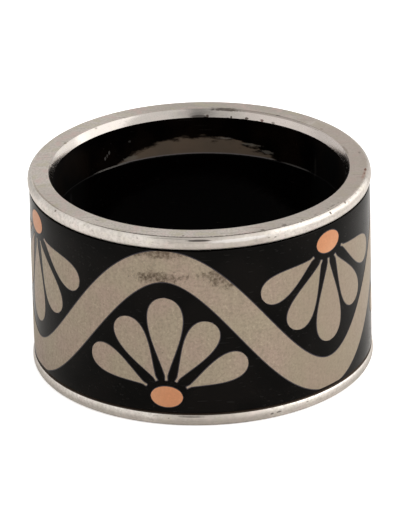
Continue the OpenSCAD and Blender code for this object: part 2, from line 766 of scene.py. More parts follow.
SATIN_MARKS_AND_SHADE: tuple[Stain, ...] = (
    # Painted shade along the inner edge, at the back
    Stain(169.2, 8.94, 7.0, 0.08, ragged=0.5, strength=0.9, scale=4.0),
    Stain(147.0, 8.9, 32.0, 0.06, ragged=0.25, strength=0.6, colour=(0.1, 0.075, 0.06)),
    # Dark nicks on the right
    Stain(52.6, 9.67, 1.5, 0.08, ragged=0.5, strength=0.85, scale=9.0),
    Stain(49.8, 9.71, 0.8, 0.07, ragged=0.4, strength=0.8, scale=9.0),
    Stain(55.6, 9.72, 0.6, 0.07, ragged=0.4, strength=0.6, scale=9.0),
    # Nicks across the outer edge, at the front on the right
    Stain(29.7, 9.73, 1.1, 0.16, ragged=0.35, strength=1.0),
    Stain(21.5, 9.73, 1.0, 0.16, ragged=0.35, strength=1.0),
    Stain(37.2, 9.74, 0.6, 0.11, ragged=0.35, strength=0.8),
    Stain(43.0, 9.76, 0.7, 0.1, ragged=0.35, strength=0.7),
    # Painted shade along the seam line
    Stain(24.0, 9.835, 11.0, 0.045, ragged=0.4, strength=0.8, colour=DARK_SEAM_SHADE, scale=8.0, broken=0.35),
    Stain(-68.0, 9.82, 17.0, 0.05, ragged=0.5, strength=0.55, colour=TAN_SEAM_SHADE, scale=5.0, broken=0.4),
    Stain(-4.0, 9.83, 44.0, 0.035, ragged=0.5, strength=0.75, colour=BROWN_SEAM_SHADE, scale=8.0, broken=0.6),
    Stain(-24.0, 9.72, 9.0, 0.03, ragged=0.5, strength=0.5, colour=SOFT_EDGE_SHADE, scale=8.0, broken=0.5),
    # Broad painted shade, on the right and at the front on the left
    Stain(94.0, 9.35, 54.0, 1.8, ragged=0.2, strength=0.6, colour=(0.4, 0.335, 0.29), scale=1.5),
    Stain(38.0, 9.35, 26.0, 1.8, ragged=0.2, strength=0.5, colour=(0.41, 0.36, 0.32), scale=1.5),
    Stain(-60.0, 9.35, 20.0, 0.9, ragged=0.35, strength=0.2, colour=(0.4, 0.35, 0.31), scale=1.5),
    # Brown mark on the far right
    Stain(81.2, 9.75, 5.5, 0.12, ragged=0.3, strength=0.5, colour=(0.4, 0.24, 0.19), scale=2.0),
    Stain(85.4, 9.78, 1.4, 0.09, ragged=0.35, strength=0.9, colour=RUST, scale=5.0),
    Stain(82.2, 9.76, 0.8, 0.05, ragged=0.35, strength=0.7, colour=RUST, scale=5.0),
    # Single small marks
    Stain(-40.0, 9.3, 1.2, 0.05, ragged=0.5, strength=0.5),
    Stain(147.4, 8.91, 1.1, 0.09, ragged=0.4, strength=0.8),
    Stain(126.1, 9.07, 1.0, 0.11, ragged=0.4, strength=0.5, colour=(0.22, 0.13, 0.1)),
    Stain(100.4, 9.63, 1.3, 0.08, ragged=0.4, strength=0.4),
    Stain(104.0, 8.93, 5.0, 0.1, ragged=0.4, strength=0.5, colour=(0.22, 0.18, 0.15)),
)

BEAD_MARKS_AND_LIGHT: tuple[Stain, ...] = (
    # Painted shade on the lower bead: all round its underside, at the front and on the right
    Stain(0.0, 0.1, 400.0, 0.42, ragged=0.1, strength=0.42, colour=(0.42, 0.38, 0.34), scale=3.0),
    Stain(-3.0, 0.6, 20.0, 0.2, ragged=0.25, strength=0.2, colour=(0.4, 0.36, 0.32), scale=3.0),
    Stain(68.0, 0.5, 24.0, 0.5, ragged=0.2, strength=0.35, colour=(0.42, 0.39, 0.36), scale=3.0),
    # Painted reflection of a dark streak at the front, on both beads, with painted shade beside it
    Stain(-0.8, 11.85, 4.8, 0.07, ragged=0.15, strength=0.9, colour=(0.07, 0.06, 0.055), scale=3.0),
    Stain(-0.8, 11.72, 6.0, 0.1, ragged=0.15, strength=0.35, colour=(0.4, 0.36, 0.32), scale=3.0),
    Stain(-11.0, 11.92, 9.0, 0.02, ragged=0.2, strength=0.5, colour=(0.12, 0.1, 0.09), scale=3.0),
    Stain(-4.3, 0.63, 5.0, 0.045, ragged=0.15, strength=0.8, colour=(0.09, 0.075, 0.065), scale=3.0),
    # Painted highlight beside it
    Stain(13.5, 11.75, 12.5, 0.13, ragged=0.25, strength=0.4, colour=(1.0, 0.99, 1.0), scale=3.0),
    # Painted shade at both ends and on the right
    Stain(-90.0, 11.85, 24.0, 0.4, ragged=0.1, strength=0.5, colour=PAINTED_SHADE_GREY, scale=3.0),
    Stain(91.0, 11.85, 19.0, 0.4, ragged=0.1, strength=0.6, colour=PAINTED_SHADE_GREY, scale=3.0),
    Stain(50.0, 11.8, 26.0, 0.3, ragged=0.2, strength=0.3, colour=(0.42, 0.39, 0.35), scale=3.0),
    # Nicks and pits
    Stain(25.3, 11.58, 0.6, 0.06, ragged=0.4, strength=0.5),
    Stain(22.9, 11.62, 0.5, 0.05, ragged=0.4, strength=0.45),
    Stain(22.8, 0.37, 0.8, 0.06, ragged=0.4, strength=0.7),
    Stain(25.4, 0.39, 1.2, 0.06, ragged=0.4, strength=0.75),
    Stain(36.5, 0.52, 0.6, 0.04, ragged=0.4, strength=0.6),
    Stain(48.9, 11.86, 0.5, 0.08, ragged=0.3, strength=0.85),
    Stain(-12.0, 0.5, 0.4, 0.05, ragged=0.3, strength=0.5),
    Stain(130.0, 11.6, 0.8, 0.07, ragged=0.4, strength=0.6),
)

STRIP_MARKS_AND_SHADE: tuple[Stain, ...] = (
    # Painted reflection of a dark notch at the back
    Stain(-179.7, 11.66, 4.4, 0.2, ragged=0.08, strength=0.25, colour=(0.12, 0.11, 0.105), scale=3.0),
    Stain(179.6, 11.59, 4.0, 0.11, ragged=0.08, strength=0.7, colour=(0.06, 0.053, 0.048), scale=3.0),
    # Nicks along the foot, at the back on the right
    Stain(176.2, 11.61, 0.7, 0.11, ragged=0.15, strength=0.9),
    Stain(166.6, 11.59, 0.5, 0.08, ragged=0.2, strength=0.9),
    Stain(160.2, 11.6, 1.0, 0.08, ragged=0.3, strength=0.9),
    Stain(153.6, 11.6, 0.9, 0.09, ragged=0.3, strength=0.8, colour=(0.1, 0.035, 0.03)),
    Stain(148.6, 11.59, 0.9, 0.07, ragged=0.3, strength=0.6),
    # Painted shade along the upper edge
    Stain(150.0, 11.965, 29.0, 0.06, ragged=0.15, strength=0.5, colour=SOFT_EDGE_SHADE),
    Stain(169.2, 11.955, 7.0, 0.08, ragged=0.4, strength=0.75),
    Stain(-136.3, 11.94, 1.0, 0.07, ragged=0.4, strength=0.4),
    # Painted reflection of the dark lining at both ends
    Stain(-76.0, 11.77, 21.0, 0.7, ragged=0.12, strength=0.85, colour=(0.05, 0.042, 0.036), scale=3.0),
    Stain(87.0, 11.77, 21.0, 0.7, ragged=0.12, strength=0.75, colour=(0.06, 0.05, 0.042), scale=3.0),
    # Mark on the lower strip
    Stain(20.0, 0.4, 3.0, 0.12, ragged=0.3, strength=0.8),
)

LINING_MARKS_AND_LIGHT: tuple[Stain, ...] = (
    # Small flecks on the left
    Stain(-141.4, 10.18, 0.55, 0.16, ragged=0.2, strength=0.5, colour=PALE_FLECK),
    Stain(-140.4, 10.03, 0.5, 0.13, ragged=0.2, strength=0.45, colour=FAINT_FLECK),
    Stain(-139.3, 9.9, 0.55, 0.15, ragged=0.2, strength=0.5, colour=PALE_FLECK),
    Stain(-151.3, 10.53, 0.7, 0.08, ragged=0.3, strength=0.3, colour=FAINT_FLECK),
    # End of the rubbed band with its painted sheen, and the painted highlight line at its foot
    Stain(-151.8, 9.42, 4.2, 0.18, ragged=0.5, strength=0.6, colour=(0.15, 0.135, 0.115), scale=5.0),
    Stain(-142.0, 9.21, 10.5, 0.045, ragged=0.2, strength=0.7, colour=(0.16, 0.15, 0.14)),
    Stain(137.0, 9.21, 9.0, 0.045, ragged=0.2, strength=0.6, colour=(0.09, 0.085, 0.08)),
    # Painted reflection streaks above the rubbed band
    Stain(169.5, 10.22, 4.0, 0.045, ragged=0.3, strength=0.6, colour=(0.24, 0.215, 0.19), scale=5.0),
    Stain(158.5, 9.95, 5.0, 0.09, ragged=0.5, strength=0.55, colour=(0.19, 0.17, 0.145), scale=5.0),
    Stain(151.5, 9.64, 3.5, 0.13, ragged=0.5, strength=0.5, colour=(0.17, 0.155, 0.135), scale=5.0),
    # Faint marks in the dark
    Stain(126.0, 9.6, 0.8, 0.9, ragged=0.3, strength=0.3, colour=(0.03, 0.028, 0.026)),
    Stain(-116.0, 8.6, 0.8, 0.5, ragged=0.3, strength=0.3, colour=(0.03, 0.03, 0.03)),
)


def shaded(colour: Colour, *shares: float) -> Colour:
    """Multiplies a colour by one share, or part by part by three."""
    parts = shares if len(shares) == len(colour) else shares * len(colour)
    return tuple(part * share for part, share in zip(colour, parts))


@dataclass(frozen=True)
class PlatedMetal:
    """Silver-coloured plating, satin or polished.

    Attributes:
        name: Name of the material.
        colour: Colour of the clean metal.
        tarnish_and_shade_colour: Colour where it is tarnished, and of the painted shade round the ring.
        rough: Roughness of the clean metal.
        rough_spread: How much rougher the worst places are.
        scratch_depth: Depth of the tooling lines, in millimetres.
        speck_share: Share of cells that hold a dark pit.
        drawn: How far the tooling lines are drawn out round the ring.
        mottle: Strength of the fine mottling.
        grain: Fineness of the mottling, in spots to the millimetre.
        painted_shade_at: Degrees round the ring where the painted shade is darkest.
        painted_shade_share: How much painted shade there is there.
        painted_shade_from: Cosine of the turn away from there at which the painted shade starts.
        painted_shade_full: Cosine of the turn at which it is complete.
        dull_blotches: How much duller the broad blotches are.
        tint: Strength of the olive and pink blotches.
        pink_cast: Share of each colour part that is left in a pink blotch.
        olive_cast: Share of each colour part that is left in an olive blotch.
        hair_share: How dark the hairline scratches are.
        hair_rough: How much rougher they are.
        pit_share: How dark the pits are.
        pit_rough: How much rougher they are.
        pit_colour: Colour of the pits.
        dark_share: Share of the tarnished colour that is left in the darkest grain.
        tooling_height: Share of the depth that the tooling lines take.
        grain_height: Share that the grain takes.
        hair_height: Height of a hairline scratch, below zero as it is cut in.
        pit_height: Height of a pit.
        across: Whether a mark's place is given by "Height" or by "Radius".
        marks_and_light: Its discoloured spots and nicks, and its painted shade and highlights.
    """

    name: str
    colour: Colour
    tarnish_and_shade_colour: Colour
    rough: float
    rough_spread: float
    scratch_depth: float
    speck_share: float
    drawn: float = 26.0
    mottle: float = 0.3
    grain: float = 7.0
    painted_shade_at: float = 180.0
    painted_shade_share: float = 0.0
    painted_shade_from: float = 0.0
    painted_shade_full: float = 0.97
    dull_blotches: float = 0.35
    tint: float = 0.1
    pink_cast: Colour = (0.98, 0.80, 0.80)
    olive_cast: Colour = (0.80, 0.80, 0.62)
    hair_share: float = 0.0
    hair_rough: float = 0.18
    pit_share: float = 0.6
    pit_rough: float = 0.3
    pit_colour: Colour = (0.16, 0.12, 0.09)
    dark_share: float = 0.72
    tooling_height: float = 0.6
    grain_height: float = 0.4
    hair_height: float = -0.5
    pit_height: float = -3.0
    across: str = "Height"
    marks_and_light: tuple[Stain, ...] = ()

    def material(self, effects: Effects) -> bpy.types.Material:
        """Builds the material.

        Args:
            effects: The shared node groups.

        Returns:
            The finished material.
        """
        surface = start_surface(self.name, effects, Metallic=1.0)
        kit, place = surface.kit, surface.place
        spot = place.outputs["Millimetres"]
        grain = kit.use(effects.grain, Vector=spot, Scale=self.grain, Blotch=0.45)
        lines = kit.stretched(place.outputs["Turned"], (self.drawn, 1.2, 1.2))
        tooling = kit.noise(lines, scale=1.0, detail=3.0, roughness=0.6)
        hairs = kit.use(effects.scratches, Vector=spot, Scale=1.0, Amount=0.55).outputs["Mask"]
        pits = kit.use(effects.specks, Vector=spot, Scale=1.9, Size=0.16, Share=self.speck_share)
        pits = pits.outputs["Mask"]

        colour = self.toned(surface, grain)
        dark = shaded(self.tarnish_and_shade_colour, self.dark_share)
        colour = kit.mix(kit.times(hairs, self.hair_share), colour, dark)
        colour = kit.mix(kit.times(pits, self.pit_share), colour, self.pit_colour)
        speckle = kit.ramp(kit.noise(spot, scale=7.0, detail=3.0, roughness=0.7), low=0.40, high=0.58)
        colour = surface.marked_and_lit(colour, self.marks_and_light, effects.patch, self.across, speckle)
        kit.feed(surface.shader.inputs["Base Color"], colour)

        rough = kit.plus(self.rough, grain.outputs["Mask"], self.rough_spread)
        rough = kit.plus(kit.plus(rough, hairs, self.hair_rough), pits, self.pit_rough)
        kit.feed(surface.shader.inputs["Roughness"], rough)

        relief = kit.plus(kit.times(tooling, self.tooling_height), grain.outputs["Mask"], self.grain_height)
        relief = kit.plus(kit.plus(relief, hairs, self.hair_height), pits, self.pit_height)
        surface.bump(relief, strength=1.0, distance_mm=self.scratch_depth)
        return surface.material

    def toned(self, surface: Surface, grain: bpy.types.Node) -> bpy.types.NodeSocket:
        """Builds the metal's colour with its painted shade round the ring, tarnish, mottling and coloured
        blotches.

        Args:
            surface: The material in the making.
            grain: The placed group that gives its grain.

        Returns:
            The socket that holds the colour.
        """
        kit, place = surface.kit, surface.place
        # Painted shade: the colour darkens towards one turn round the ring, standing in for how the light
        # falls there
        turn = kit.maths("RADIANS", kit.minus(place.outputs["Degrees"], self.painted_shade_at))
        painted_shade = kit.ramp(kit.maths("COSINE", turn), self.painted_shade_from, self.painted_shade_full, end=self.painted_shade_share)
        blotches = kit.times(grain.outputs["Broad"], self.dull_blotches)
        colour = kit.mix(kit.maths("ADD", painted_shade, blotches, clamp=True), self.colour, self.tarnish_and_shade_colour)
        mottling = kit.ramp(grain.outputs["Mask"], low=0.42, high=0.64, end=self.mottle)
        colour = kit.mix(mottling, colour, shaded(self.tarnish_and_shade_colour, self.dark_share))
        cast = kit.noise(place.outputs["Millimetres"], scale=1.3, detail=4.0, roughness=0.65)
        for full_at, shares in ((0.66, self.pink_cast), (0.34, self.olive_cast)):
            blotch = kit.ramp(cast, low=0.5, high=full_at, end=self.tint)
            colour = kit.mix(blotch, colour, shaded(self.colour, *shares))
        return colour


@dataclass(frozen=True)
class BlackEnamel:
    """Glossy black enamel on the outside.

    Attributes:
        name: Name of the material.
        colour: Body colour of the enamel.
        rough: Roughness of the clean surface.
        specular: Strength of its reflection.
        haze: How much rougher the rubbed places are.
        hair_rough: How much rougher a hairline scratch is.
        rubbed_colour: Colour of the rubbed places.
        rubbed_share: How much of it there is at most.
        grit_colour: Colour of the specks of grit.
        grit_share: How strongly they tell.
        hair_colour: Colour of the hairline scratches.
        hair_share: How strongly they tell.
    """

    name: str
    colour: Colour
    rough: float
    specular: float
    haze: float
    hair_rough: float = 0.15
    rubbed_colour: Colour = (0.006, 0.0045, 0.0038)
    rubbed_share: float = 0.5
    grit_colour: Colour = (0.08, 0.078, 0.08)
    grit_share: float = 0.5
    hair_colour: Colour = (0.06, 0.058, 0.055)
    hair_share: float = 0.1

    def material(self, effects: Effects) -> bpy.types.Material:
        """Builds the material.

        Args:
            effects: The shared node groups.

        Returns:
            The finished material.
        """
        surface = start_surface(self.name, effects)
        surface.shader.inputs["Specular IOR Level"].default_value = self.specular
        kit, place = surface.kit, surface.place
        spot = place.outputs["Millimetres"]
        grain = kit.use(effects.grain, Vector=spot, Scale=5.0, Blotch=0.35)
        hairs = kit.use(effects.scratches, Vector=spot, Scale=0.8, Amount=0.5).outputs["Mask"]
        grit = kit.use(effects.specks, Vector=spot, Scale=1.1, Size=0.06, Share=0.05).outputs["Mask"]
        rubbed = grain.outputs["Broad"]
        colour = kit.mix(kit.times(rubbed, self.rubbed_share), self.colour, self.rubbed_colour)
        colour = kit.mix(kit.times(grit, self.grit_share), colour, self.grit_colour)
        colour = kit.mix(kit.times(hairs, self.hair_share), colour, self.hair_colour)
        kit.feed(surface.shader.inputs["Base Color"], colour)
        rough = kit.plus(kit.plus(self.rough, rubbed, self.haze), hairs, self.hair_rough)
        kit.feed(surface.shader.inputs["Roughness"], rough)
        surface.bump(kit.minus(grain.outputs["Mask"], hairs), strength=0.5, distance_mm=0.002)
        return surface.material


@dataclass(frozen=True)
class LiningEnamel:
    """Black lining enamel, dulled where the finger rubs above the shoulder, with a painted sheen and a
    painted highlight line there.

    Attributes:
        name: Name of the material.
        colour: Body colour of the enamel.
        wear_and_sheen_colour: Colour of the rubbed band, worn and with a painted sheen.
        cloud_colour: Colour of the darker clouds in it.
        crease_highlight_colour: Colour of the painted highlight line at its foot.
        crease_highlight_share: How strongly the painted highlight line tells.
        shade_colour: Colour of the brown blotches beside it.
        shade_share: How strongly they tell.
        hair_colour: Colour of the hairline scratches.
        hair_share: How strongly they tell.
        rough: Roughness of the clean surface.
        worn_rough: How much rougher the rubbed band is.
        side_rough: How much rougher the sides of the opening are.
        hair_rough: How much rougher a hairline scratch is.
        specular: Strength of its reflection.
        crease_height: Height of the upper shoulder, in millimetres.
        wear_and_sheen_height: Height of the rubbed band above the shoulder.
        wear_and_sheen_at: Degrees round the ring where it is widest, from the back.
        wear_and_sheen_half: Half of the degrees that it spans.
        wear_and_sheen_fullness: How full its ends are, 2 being an ellipse.
        marks_and_light: Its pale flecks, and its painted highlight lines and reflection streaks.
    """

    name: str
    colour: Colour
    wear_and_sheen_colour: Colour
    cloud_colour: Colour
    crease_highlight_colour: Colour
    crease_highlight_share: float
    shade_colour: Colour
    shade_share: float
    hair_colour: Colour
    hair_share: float
    rough: float
    worn_rough: float
    side_rough: float
    hair_rough: float
    specular: float
    crease_height: float
    wear_and_sheen_height: float
    wear_and_sheen_at: float
    wear_and_sheen_half: float
    wear_and_sheen_fullness: float
    marks_and_light: tuple[Stain, ...] = ()

    def material(self, effects: Effects) -> bpy.types.Material:
        """Builds the material.

        Args:
            effects: The shared node groups.

        Returns:
            The finished material.
        """
        surface = start_surface(self.name, effects)
        surface.shader.inputs["Specular IOR Level"].default_value = self.specular
        kit, place = surface.kit, surface.place
        spot = place.outputs["Millimetres"]
        grain = kit.use(effects.grain, Vector=spot, Scale=6.0, Blotch=0.5)
        hairs = kit.use(effects.scratches, Vector=spot, Scale=0.7, Amount=0.35).outputs["Mask"]
        half_turn = 180.0
        from_back = kit.minus(kit.maths("ABSOLUTE", place.outputs["Degrees"]), half_turn)
        above_crease = kit.minus(place.outputs["Height"], self.crease_height)
        wear_and_sheen = self.wear_and_sheen_mask(surface, from_back, above_crease)

        # Painted sheen: the rubbed band takes a grey-brown colour that stands in for a reflection, and its
        # foot a painted highlight line
        clouds = kit.ramp(kit.noise(spot, scale=0.9, detail=2.0), low=0.35, high=0.65, end=0.35)
        colour = kit.mix(wear_and_sheen, self.colour, kit.mix(clouds, self.wear_and_sheen_colour, self.cloud_colour))
        foot = kit.times(kit.ramp(above_crease, low=0.10, high=0.04, end=self.crease_highlight_share), wear_and_sheen)
        colour = kit.mix(foot, colour, self.crease_highlight_colour)
        brown = kit.times(grain.outputs["Broad"], kit.maths("GREATER_THAN", above_crease, 0.0))
        shade = kit.times(kit.times(brown, kit.minus(1.0, wear_and_sheen)), self.shade_share)
        colour = kit.mix(shade, colour, self.shade_colour)
        colour = kit.mix(kit.times(hairs, self.hair_share), colour, self.hair_colour)
        colour = surface.marked_and_lit(colour, self.marks_and_light, effects.patch, "Height")
        kit.feed(surface.shader.inputs["Base Color"], colour)

        sides = kit.ramp(kit.maths("ABSOLUTE", from_back), low=44.0, high=60.0, end=self.side_rough)
        rough = kit.plus(kit.plus(self.rough, sides), wear_and_sheen, self.worn_rough)
        kit.feed(surface.shader.inputs["Roughness"], kit.plus(rough, hairs, self.hair_rough))
        surface.bump(grain.outputs["Mask"], strength=0.5, distance_mm=0.003)
        return surface.material

    def wear_and_sheen_mask(
        self, surface: Surface, from_back: bpy.types.NodeSocket, above_crease: bpy.types.NodeSocket
    ) -> bpy.types.NodeSocket:
        """Builds the mask of the rubbed band and its painted sheen: a long lens that stands on the
        shoulder.

        Args:
            surface: The material in the making.
            from_back: Socket that holds the turn away from the back, in degrees below zero.
            above_crease: Socket that holds the height above the shoulder.

        Returns:
            The socket that holds the mask.
        """
        kit, place = surface.kit, surface.place
        layers = kit.stretched(place.outputs["Millimetres"], (1.5, 1.5, 5.0))
        layered = kit.noise(layers, scale=1.0, detail=4.0, roughness=0.62)
        side = kit.times(from_back, kit.maths("SIGN", place.outputs["Degrees"]))
        span = kit.maths("DIVIDE", kit.minus(side, self.wear_and_sheen_at), self.wear_and_sheen_half)
        narrowing = kit.maths("POWER", kit.maths("ABSOLUTE", span), self.wear_and_sheen_fullness)
        lens = kit.maths("SUBTRACT", 1.0, narrowing, clamp=True)
        top = kit.times(lens, self.wear_and_sheen_height)
        to_the_left = kit.ramp(side, low=22.0, high=-26.0, start=0.9, end=1.5)
        off_the_ends = kit.ramp(lens, low=0.0, high=0.6, start=0.3, end=1.0)
        ragged = kit.times(kit.minus(layered, NOISE_MIDDLE), kit.times(to_the_left, off_the_ends))
        below_top = kit.ramp(kit.minus(kit.plus(top, ragged), above_crease), low=-0.14, high=0.2)
        above = kit.maths("GREATER_THAN", above_crease, 0.0)
        inside = kit.maths("GREATER_THAN", lens, 0.0)
        return kit.times(kit.times(below_top, above), inside)


@dataclass(frozen=True)
class PrintColour:
    """A printed colour on the enamel, with a slight metallic body where it has one.

    Attributes:
        name: Name of the material.
        colour: Main colour.
        warm_colour: Colour of the warmer blotches.
        metallic: How metallic it is.
        rough: Roughness.
        rough_spread: How far the grain changes its roughness.
        specular: Strength of its reflection.
        streak: Strength of the fine upright streaks.
        mottle: Strength of the fine mottling and of its glints.
        streak_share: Share of the warm colour that is left in a streak.
        dark_share: Share of the main colour that is left in the darkest grain.
        glint_share: Share by which a glint is brighter.
        pit_colour: Colour of the pits.
        pit_share: How dark they are.
        scuffs_and_shade: Rubbed patches, and painted shade on the right.
    """

    name: str
    colour: Colour
    warm_colour: Colour
    metallic: float
    rough: float
    rough_spread: float = 0.25
    specular: float = 0.3
    streak: float = 0.0
    mottle: float = 0.3
    streak_share: float = 0.7
    dark_share: float = 0.6
    glint_share: float = 1.35
    pit_colour: Colour = (0.05, 0.04, 0.03)
    pit_share: float = 0.4
    scuffs_and_shade: tuple[Stain, ...] = ()

    def material(self, effects: Effects) -> bpy.types.Material:
        """Builds the material.

        Args:
            effects: The shared node groups.

        Returns:
            The finished material.
        """
        surface = start_surface(self.name, effects, Metallic=self.metallic)
        surface.shader.inputs["Specular IOR Level"].default_value = self.specular
        kit, place = surface.kit, surface.place
        spot = place.outputs["Millimetres"]
        grain = kit.use(effects.grain, Vector=spot, Scale=6.5, Blotch=0.42)
        pits = kit.use(effects.specks, Vector=spot, Scale=2.1, Size=0.1, Share=0.16).outputs["Mask"]

        colour = kit.mix(grain.outputs["Broad"], self.colour, self.warm_colour)
        upright = kit.noise(kit.stretched(spot, (5.0, 5.0, 0.4)), scale=1.0, detail=3.0, roughness=0.6)
        streaks = kit.ramp(upright, low=0.4, high=0.75, end=self.streak)
        colour = kit.mix(streaks, colour, shaded(self.warm_colour, self.streak_share))
        mottling = kit.ramp(grain.outputs["Mask"], low=0.42, high=0.66, end=self.mottle)
        colour = kit.mix(mottling, colour, shaded(self.colour, self.dark_share))
        flakes = kit.noise(kit.stretched(spot, (1.0, 1.0, 0.8)), scale=8.0, detail=2.0)
        glints = kit.ramp(flakes, low=0.56, high=0.72, end=self.mottle)
        colour = kit.mix(glints, colour, shaded(self.colour, self.glint_share))
        colour = kit.mix(kit.times(pits, self.pit_share), colour, self.pit_colour)
        speckle = kit.ramp(kit.noise(spot, scale=4.5, detail=5.0, roughness=0.7), low=0.34, high=0.64)
        colour = surface.marked_and_lit(colour, self.scuffs_and_shade, effects.patch, "Height", speckle)
        kit.feed(surface.shader.inputs["Base Color"], colour)

        rough = kit.plus(self.rough, kit.minus(grain.outputs["Mask"], NOISE_MIDDLE), self.rough_spread)
        kit.feed(surface.shader.inputs["Roughness"], rough)
        surface.bump(grain.outputs["Mask"], strength=0.6, distance_mm=0.004)
        return surface.material


@dataclass(frozen=True)
class Finishes:
    """Every material of the ring.

    Attributes:
        flat: Satin face of a rim.
        bead: Polished bead.
        strip: Bright strip inside a rim.
        outer_enamel: Black enamel outside.
        lining: Black enamel inside.
        gap: Painted shade and grime in the gaps beside the enamel.
        seam: Shadow in the seam line.
        champagne: Main colour of the print.
        fringe: Dark outline of the print.
        coral: Second colour of the print.
    """

    flat: bpy.types.Material
    bead: bpy.types.Material
    strip: bpy.types.Material
    outer_enamel: bpy.types.Material
    lining: bpy.types.Material
    gap: bpy.types.Material
    seam: bpy.types.Material
    champagne: bpy.types.Material
    fringe: bpy.types.Material
    coral: bpy.types.Material


def metal_finishes() -> dict[str, PlatedMetal]:
    """Describes every metal finish.

    Returns:
        The finishes, by the part of the ring that they dress.
    """
    satin = PlatedMetal(
        name="satin_face",
        colour=(0.66, 0.605, 0.56),
        tarnish_and_shade_colour=(0.48, 0.435, 0.39),
        rough=0.36,
        rough_spread=0.16,
        scratch_depth=0.012,
        speck_share=0.10,
        drawn=40.0,
        mottle=0.45,
        # Painted shade, darkest at the back of the face
        painted_shade_at=172.0,
        painted_shade_share=0.85,
        painted_shade_from=0.74,
        tint=0.5,
        hair_share=0.5,
        across="Radius",
        marks_and_light=SATIN_MARKS_AND_SHADE,
    )
    bead = PlatedMetal(
        name="polished_bead",
        colour=(0.89, 0.84, 0.79),
        tarnish_and_shade_colour=(0.60, 0.55, 0.505),
        rough=0.33,
        rough_spread=0.16,
        scratch_depth=0.014,
        speck_share=0.16,
        mottle=0.34,
        grain=5.0,
        # Painted shade, darkest at the front of the beads
        painted_shade_at=4.0,
        painted_shade_share=0.8,
        painted_shade_from=0.92,
        tint=0.15,
        hair_share=0.3,
        marks_and_light=BEAD_MARKS_AND_LIGHT,
    )
    strip = PlatedMetal(
        name="inner_strip",
        colour=(0.70, 0.635, 0.60),
        tarnish_and_shade_colour=(0.45, 0.42, 0.395),
        rough=0.17,
        rough_spread=0.04,
        scratch_depth=0.0003,
        speck_share=0.02,
        mottle=0.10,
        # Painted shade, darkest at the back on the left
        painted_shade_at=-140.0,
        painted_shade_share=1.0,
        painted_shade_from=0.15,
        marks_and_light=STRIP_MARKS_AND_SHADE,
    )
    # Painted shade, with grime, for the dark gaps beside the enamel
    gap = PlatedMetal(
        name="gap_grime",
        colour=(0.075, 0.055, 0.042),
        tarnish_and_shade_colour=(0.05, 0.038, 0.03),
        rough=0.55,
        rough_spread=0.2,
        scratch_depth=0.002,
        speck_share=0.0,
    )
    seam = PlatedMetal(
        name="seam_shadow",
        colour=(0.80, 0.75, 0.70),
        tarnish_and_shade_colour=(0.15, 0.125, 0.10),
        rough=0.5,
        rough_spread=0.2,
        scratch_depth=0.002,
        speck_share=0.0,
        painted_shade_at=8.0,
        painted_shade_share=1.0,
        painted_shade_from=0.5,
    )
    return {"flat": satin, "bead": bead, "strip": strip, "gap": gap, "seam": seam}


def enamel_finishes() -> dict[str, BlackEnamel | LiningEnamel]:
    """Describes both enamels.

    Returns:
        The finishes, by the part of the ring that they dress.
    """
    outer = BlackEnamel(
        name="outer_black_enamel",
        colour=(0.0008, 0.0006, 0.0004),
        rough=0.12,
        specular=0.07,
        haze=0.08,
    )
    lining = LiningEnamel(
        name="lining_black_enamel",
        colour=(0.0008, 0.0006, 0.0006),
        # The rubbed band is worn and carries a painted sheen, with a painted highlight line at its foot
        wear_and_sheen_colour=(0.122, 0.090, 0.066),
        cloud_colour=(0.085, 0.072, 0.057),
        crease_highlight_colour=(0.16, 0.152, 0.15),
        crease_highlight_share=0.9,
        shade_colour=(0.005, 0.003, 0.002),
        shade_share=0.7,
        hair_colour=(0.05, 0.045, 0.04),
        hair_share=0.05,
        rough=0.08,
        worn_rough=0.4,
        side_rough=0.5,
        hair_rough=0.2,
        specular=0.05,
        crease_height=9.2,
        wear_and_sheen_height=1.05,
        wear_and_sheen_at=1.0,
        wear_and_sheen_half=34.0,
        wear_and_sheen_fullness=2.2,
        marks_and_light=LINING_MARKS_AND_LIGHT,
    )
    return {"outer_enamel": outer, "lining": lining}


def print_finishes() -> dict[str, PrintColour]:
    """Describes every printed colour.

    Returns:
        The finishes, by the part of the ring that they dress.
    """
    champagne = PrintColour(
        name="champagne_print",
        colour=(0.372, 0.310, 0.227),
        warm_colour=(0.395, 0.299, 0.239),
        metallic=0.30,
        rough=0.42,
        streak=0.35,
        mottle=0.55,
        scuffs_and_shade=PRINT_SCUFFS_AND_SHADE,
    )
    fringe = PrintColour(
        name="dark_outline_print",
        colour=(0.032, 0.027, 0.038),
        warm_colour=(0.03, 0.026, 0.03),
        metallic=0.0,
        rough=0.4,
    )
    coral = PrintColour(
        name="coral_print",
        colour=(0.62, 0.29, 0.15),
        warm_colour=(0.58, 0.25, 0.12),
        metallic=0.0,
        rough=0.35,
        streak=0.1,
        mottle=0.2,
    )
    return {"champagne": champagne, "fringe": fringe, "coral": coral}


def build_finishes(effects: Effects) -> Finishes:
    """Builds every material of the ring."""
    described = {**metal_finishes(), **enamel_finishes(), **print_finishes()}
    return Finishes(**{part: finish.material(effects) for part, finish in described.items()})


# The ring


